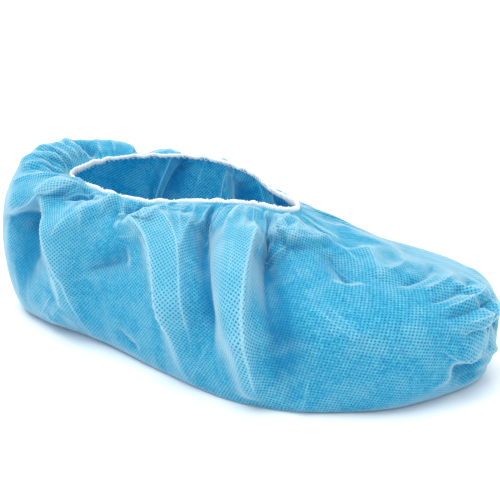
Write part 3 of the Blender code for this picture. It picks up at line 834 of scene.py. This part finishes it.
def embossed_dots():
    """Small embossed dots in a diamond grid: a mask that is 1 on the dots."""
    group = bpy.data.node_groups.new("embossed dots", "ShaderNodeTree")
    group.interface.new_socket("Place", in_out="INPUT", socket_type="NodeSocketVector")
    group.interface.new_socket("Pitch", in_out="INPUT", socket_type="NodeSocketFloat")
    group.interface.new_socket("Dot", in_out="INPUT", socket_type="NodeSocketFloat")
    group.interface.new_socket("Dots", in_out="OUTPUT", socket_type="NodeSocketFloat")
    start = group.nodes.new("NodeGroupInput")
    end = group.nodes.new("NodeGroupOutput")
    turned = group.nodes.new("ShaderNodeVectorRotate")
    turned.rotation_type = "Z_AXIS"
    turned.inputs["Angle"].default_value = math.radians(45.0)
    share = group.nodes.new("ShaderNodeVectorMath")
    share.operation = "DIVIDE"
    spread = group.nodes.new("ShaderNodeCombineXYZ")
    spread.inputs["Z"].default_value = 1.0
    cell = group.nodes.new("ShaderNodeVectorMath")
    cell.operation = "FRACTION"
    centred = group.nodes.new("ShaderNodeVectorMath")
    centred.operation = "SUBTRACT"
    centred.inputs[1].default_value = (0.5, 0.5, 0.0)
    flat = group.nodes.new("ShaderNodeVectorMath")
    flat.operation = "MULTIPLY"
    flat.inputs[1].default_value = (1.0, 1.0, 0.0)
    reach = group.nodes.new("ShaderNodeVectorMath")
    reach.operation = "LENGTH"
    edge = group.nodes.new("ShaderNodeMapRange")
    edge.interpolation_type = "SMOOTHSTEP"
    edge.inputs["From Min"].default_value = 0.12
    edge.inputs["To Min"].default_value = 1.0
    edge.inputs["To Max"].default_value = 0.0
    group.links.new(start.outputs["Place"], turned.inputs["Vector"])
    group.links.new(start.outputs["Pitch"], spread.inputs["X"])
    group.links.new(start.outputs["Pitch"], spread.inputs["Y"])
    group.links.new(turned.outputs["Vector"], share.inputs[0])
    group.links.new(spread.outputs["Vector"], share.inputs[1])
    group.links.new(share.outputs["Vector"], cell.inputs[0])
    group.links.new(cell.outputs["Vector"], centred.inputs[0])
    group.links.new(centred.outputs["Vector"], flat.inputs[0])
    group.links.new(flat.outputs["Vector"], reach.inputs[0])
    group.links.new(reach.outputs["Value"], edge.inputs["Value"])
    group.links.new(start.outputs["Dot"], edge.inputs["From Max"])
    group.links.new(edge.outputs["Result"], end.inputs["Dots"])
    return group


dot_pitch = 0.00168
dot_size = 0.46
fibres_per_metre = 1100.0
clumps_per_metre = 330.0
clouds_per_metre = 60.0
fibre_part = 0.65
emboss_depth = 0.8
relief_height = 0.00025
light_through = 0.42
thin_blue = (0.010, 0.380, 0.685)
thick_blue = (0.175, 0.790, 0.945)
# Painted shade for cloth that lies deep in a fold.
fold_shade_blue = (0.008, 0.310, 0.570)
# Painted highlight on raised cloth, partly also the paler doubled cloth of a pleat.
doubled_and_highlight_blue = (0.350, 0.820, 0.940)
cloud_blue = (0.390, 0.850, 0.960)
# Painted highlight on convex crests.
crest_highlight_blue = (0.500, 0.860, 0.980)
# Painted shade in concave hollows.
valley_shade_blue = (0.012, 0.280, 0.580)
film_blue = (0.004, 0.180, 0.430)
# Painted highlight along pressed edges and ridges.
line_highlight_blue = (0.600, 0.920, 1.000)
# Painted sheen where the cloth is seen from the side.
sheen_haze_blue = (0.660, 0.950, 1.000)
nonwoven, nonwoven_shader = new_material("blue_nonwoven", (0.10, 0.47, 0.74), 0.85)
nonwoven_shader.inputs["Sheen Weight"].default_value = 0.25
nonwoven_shader.inputs["Sheen Roughness"].default_value = 0.4
nonwoven_shader.inputs["Sheen Tint"].default_value = (0.75, 0.92, 1.0, 1.0)
nonwoven_shader.inputs["Specular IOR Level"].default_value = 0.15
nonwoven_shader.inputs["Subsurface Weight"].default_value = 0.3
nonwoven_shader.inputs["Subsurface Radius"].default_value = (0.6, 0.85, 1.0)
nonwoven_shader.inputs["Subsurface Scale"].default_value = 0.002
tree = nonwoven.node_tree


def share_node(value, low, high, low_share, high_share):
    """A share that goes smoothly from low_share to high_share as a value goes from low to high."""
    node = tree.nodes.new("ShaderNodeMapRange")
    node.interpolation_type = "SMOOTHSTEP"
    node.inputs["From Min"].default_value = low
    node.inputs["From Max"].default_value = high
    node.inputs["To Min"].default_value = low_share
    node.inputs["To Max"].default_value = high_share
    tree.links.new(value, node.inputs["Value"])
    return node.outputs["Result"]


def maths(operation, first, second=None, number=0.0):
    """One step of arithmetic between two values, or a value and a number."""
    node = tree.nodes.new("ShaderNodeMath")
    node.operation = operation
    tree.links.new(first, node.inputs[0])
    if second is None:
        node.inputs[1].default_value = number
    else:
        tree.links.new(second, node.inputs[1])
    return node.outputs["Value"]


def tinted(under, share, colour):
    """A colour laid over another one by a share."""
    node = tree.nodes.new("ShaderNodeMix")
    node.data_type = "RGBA"
    node.inputs["B"].default_value = (*colour, 1.0)
    tree.links.new(under, node.inputs["A"])
    tree.links.new(share, node.inputs["Factor"])
    return node.outputs["Result"]


def cloth_mark(name):
    """A value that the mesh carries at each of its points."""
    node = tree.nodes.new("ShaderNodeAttribute")
    node.attribute_name = name
    return node.outputs["Fac"]


def cloth_noise(scale, detail, roughness):
    """Noise that lies on the flat cloth, in features per metre."""
    node = tree.nodes.new("ShaderNodeTexNoise")
    node.inputs["Scale"].default_value = scale
    node.inputs["Detail"].default_value = detail
    node.inputs["Roughness"].default_value = roughness
    tree.links.new(layout_node.outputs["UV"], node.inputs["Vector"])
    return node.outputs["Fac"]


layout_node = tree.nodes.new("ShaderNodeUVMap")
layout_node.uv_map = "cloth"
dots = tree.nodes.new("ShaderNodeGroup")
dots.node_tree = embossed_dots()
dots.inputs["Pitch"].default_value = dot_pitch
dots.inputs["Dot"].default_value = dot_size
tree.links.new(layout_node.outputs["UV"], dots.inputs["Place"])
fibres = cloth_noise(fibres_per_metre, 3.0, 0.75)
clumps = cloth_noise(clumps_per_metre, 2.0, 0.6)
clouds = cloth_noise(clouds_per_metre, 3.0, 0.55)

# Two blues by how the fibres lie: thin places are deep blue and clumps of fibre are pale.
fibre_ramp = tree.nodes.new("ShaderNodeValToRGB")
fibre_ramp.color_ramp.elements[0].position = 0.38
fibre_ramp.color_ramp.elements[0].color = (*thin_blue, 1.0)
fibre_ramp.color_ramp.elements[1].position = 0.62
fibre_ramp.color_ramp.elements[1].color = (*thick_blue, 1.0)
fine_part = maths("MULTIPLY", fibres, number=fibre_part)
clump_part = maths("MULTIPLY", clumps, number=1.0 - fibre_part)
mixed_fibres = maths("ADD", fine_part, clump_part)
tree.links.new(mixed_fibres, fibre_ramp.inputs["Fac"])
colour = fibre_ramp.outputs["Color"]

# Painted shade darkens the cloth that lies deep in a fold. Raised cloth is paler, partly because a
# pleat doubles it and partly as a painted highlight.
painted_fold_shade = share_node(cloth_mark("raised"), -0.006, 0.001, 0.70, 0.0)
colour = tinted(colour, painted_fold_shade, fold_shade_blue)
# Raised cloth gets a painted highlight, which partly also stands for the paler doubled cloth.
lifted = share_node(cloth_mark("raised"), 0.001, 0.010, 0.0, 0.45)
colour = tinted(colour, lifted, doubled_and_highlight_blue)
cloudy = share_node(clouds, 0.42, 0.66, 0.0, 0.35)
colour = tinted(colour, cloudy, cloud_blue)
# Convex crests get a painted highlight.
crest = share_node(cloth_mark("bend"), 0.52, 0.95, 0.0, 0.45)
colour = tinted(colour, crest, crest_highlight_blue)
# Concave hollows get a painted shade.
painted_hollow_shade = share_node(cloth_mark("bend"), 0.48, 0.10, 0.0, 0.45)
colour = tinted(colour, painted_hollow_shade, valley_shade_blue)

# The embossed dots are pressed through to a thin, deep blue film.
pressed = share_node(fibres, 0.35, 0.65, 1.00, 0.55)
dot_share = maths("MULTIPLY", dots.outputs["Dots"], pressed)
colour = tinted(colour, dot_share, film_blue)

# A painted highlight, a thin pale line, lies along each pressed edge and along each crease and
# gather ridge.
line_highlight = share_node(maths("ABSOLUTE", cloth_mark("line_away")), 0.0001, 0.0007, 1.0, 0.0)
line_highlight = maths("MULTIPLY", line_highlight, cloth_mark("line_highlight_share"))
line_highlight = maths("MINIMUM", line_highlight, number=0.55)
colour = tinted(colour, line_highlight, line_highlight_blue)

# Seen from the side, the cloth is painted paler: a painted sheen for the loose fibres, which show
# more than the cloth there.
facing = tree.nodes.new("ShaderNodeLayerWeight")
facing.inputs["Blend"].default_value = 0.5
painted_sheen = share_node(facing.outputs["Facing"], 0.40, 0.92, 0.0, 0.72)
colour = tinted(colour, painted_sheen, sheen_haze_blue)
tree.links.new(colour, nonwoven_shader.inputs["Base Color"])

# The thin cloth lets some light through, which is what lights the inside of the foot.
through = tree.nodes.new("ShaderNodeBsdfTranslucent")
through_share = tree.nodes.new("ShaderNodeMixShader")
through_share.inputs["Fac"].default_value = light_through
tree.links.new(colour, through.inputs["Color"])
tree.links.new(nonwoven_shader.outputs["BSDF"], through_share.inputs[1])
tree.links.new(through.outputs["BSDF"], through_share.inputs[2])
tree.links.new(through_share.outputs["Shader"], tree.nodes["Material Output"].inputs["Surface"])

dents = maths("MULTIPLY", dots.outputs["Dots"], number=emboss_depth)
relief = maths("SUBTRACT", mixed_fibres, dents)
bump = tree.nodes.new("ShaderNodeBump")
bump.inputs["Strength"].default_value = 0.6
bump.inputs["Distance"].default_value = relief_height
tree.links.new(relief, bump.inputs["Height"])
tree.links.new(bump.outputs["Normal"], nonwoven_shader.inputs["Normal"])
cover.data.materials.append(nonwoven)
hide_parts("cover")
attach(cover, "root")


# The elastic. A narrow white knitted band is folded over the raw edge of the cloth all round
# the opening. It is sewn on while it is stretched, so it draws itself up into fine ribs.
elastic_width = 0.0040
elastic_wall = 0.0016
elastic_inset = 0.0006
elastic_ribs = 96
elastic_columns = 768
elastic_profile = 12
far_narrowing = 0.42
near_narrowing = 0.20
rib_depth = 0.10
broad_wave = 0.0004
broad_waves = 34
fine_wave = 0.0003
fine_waves = 50
elastic_lift = 0.0003
knit_shade = (0.72, 0.86, 0.94, 1.0)
knit_white = (0.97, 0.98, 1.00, 1.0)
knit_per_metre = 1400.0


def elastic_share(turn):
    """How wide the elastic lies at each place: it is drawn in along both sides."""
    far_side = smooth_step((turn - 0.06) / 0.10) * smooth_step((0.82 - turn) / 0.10)
    near_side = smooth_step((-0.20 - turn) / 0.10)
    return 1.0 - far_narrowing * far_side - near_narrowing * near_side


def elastic_point(turn, way):
    """Point of the elastic: way runs once round its flat oval section."""
    along = rim_at(wrapped(turn + STEP)) - rim_at(wrapped(turn - STEP))
    along = along / np.linalg.norm(along, axis=-1, keepdims=True)
    outward = plan_normal(rim_at, turn)
    upward = np.cross(outward, along)
    upward = upward * np.sign(upward[..., 2:])
    angle = 2.0 * math.pi * way
    rib = 1.0 + rib_depth * np.cos(math.pi * elastic_ribs * 2.0 * turn)
    drawn = elastic_share(turn)
    width = elastic_width / 2 * np.sin(angle) * (0.8 + 0.2 * rib) * drawn
    wall = elastic_wall / 2 * np.cos(angle) * rib * drawn
    wave = broad_wave * np.sin(math.pi * broad_waves * turn)
    wave += fine_wave * np.sin(math.pi * fine_waves * turn + 1.0)
    return (
        rim_at(wrapped(turn))
        + outward * (wall - elastic_inset)[..., None]
        + upward * (width + elastic_lift + wave)[..., None]
    )


elastic = wrapped_sheet(
    "rim_elastic", elastic_columns, list(np.linspace(0.0, 1.0, elastic_profile + 1)), elastic_point
)
elastic.data.transform(Matrix.Translation(centring))
elastic_work = bmesh.new()
elastic_work.from_mesh(elastic.data)
bmesh.ops.recalc_face_normals(elastic_work, faces=elastic_work.faces)
elastic_work.to_mesh(elastic.data)
elastic_work.free()

white_knit, knit_shader = new_material("white_knit", (0.86, 0.92, 0.96), 0.75)
knit_shader.inputs["Sheen Weight"].default_value = 0.2
knit_tree = white_knit.node_tree
knit_place = knit_tree.nodes.new("ShaderNodeTexCoord")
knit_noise = knit_tree.nodes.new("ShaderNodeTexNoise")
knit_noise.inputs["Scale"].default_value = knit_per_metre
knit_noise.inputs["Detail"].default_value = 2.0
knit_colour = knit_tree.nodes.new("ShaderNodeValToRGB")
knit_colour.color_ramp.elements[0].position = 0.35
knit_colour.color_ramp.elements[0].color = knit_shade
knit_colour.color_ramp.elements[1].position = 0.52
knit_colour.color_ramp.elements[1].color = knit_white
knit_bump = knit_tree.nodes.new("ShaderNodeBump")
knit_bump.inputs["Strength"].default_value = 0.6
knit_bump.inputs["Distance"].default_value = 0.0003
knit_tree.links.new(knit_place.outputs["Object"], knit_noise.inputs["Vector"])
knit_tree.links.new(knit_noise.outputs["Fac"], knit_colour.inputs["Fac"])
knit_tree.links.new(knit_colour.outputs["Color"], knit_shader.inputs["Base Color"])
knit_tree.links.new(knit_noise.outputs["Fac"], knit_bump.inputs["Height"])
knit_tree.links.new(knit_bump.outputs["Normal"], knit_shader.inputs["Normal"])
elastic.data.materials.append(white_knit)
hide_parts("elastic_band")
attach(elastic, "root")


# The overlock stitches. An overlock machine winds white polyester thread round the elastic
# and the edge of the cloth, which holds the two together.
stitch_count = 150
stitch_points = 12
stitch_height = 0.0025
stitch_depth = 0.0011
thread_radius = 0.00022

stitch_turn = np.linspace(-1.0, 1.0, stitch_count * stitch_points, endpoint=False)
stitch_way = np.linspace(0.0, stitch_count, stitch_count * stitch_points, endpoint=False) % 1.0
stitch_out = plan_normal(rim_at, stitch_turn)
stitch_path = rim_at(stitch_turn)
stitch_angle = 2.0 * math.pi * stitch_way
stitch_path += stitch_out * (stitch_depth * np.cos(stitch_angle) - elastic_inset)[..., None]
stitch_path[:, 2] += stitch_height * elastic_share(stitch_turn) * np.sin(stitch_angle)
stitch_path += np.array(centring)
thread_curve = bpy.data.curves.new("overlock_stitches", "CURVE")
thread_curve.dimensions = "3D"
thread_curve.bevel_depth = thread_radius
thread_curve.bevel_resolution = 1
thread_spline = thread_curve.splines.new("POLY")
thread_spline.points.add(len(stitch_path) - 1)
for point, place in zip(thread_spline.points, stitch_path):
    point.co = (*place, 1.0)
thread_spline.use_cyclic_u = True
thread = bpy.data.objects.new("overlock_stitches", thread_curve)
bpy.context.scene.collection.objects.link(thread)
white_thread, _ = new_material("white_thread", (0.90, 0.95, 0.98), 0.55)
thread_curve.materials.append(white_thread)
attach(thread, "root")
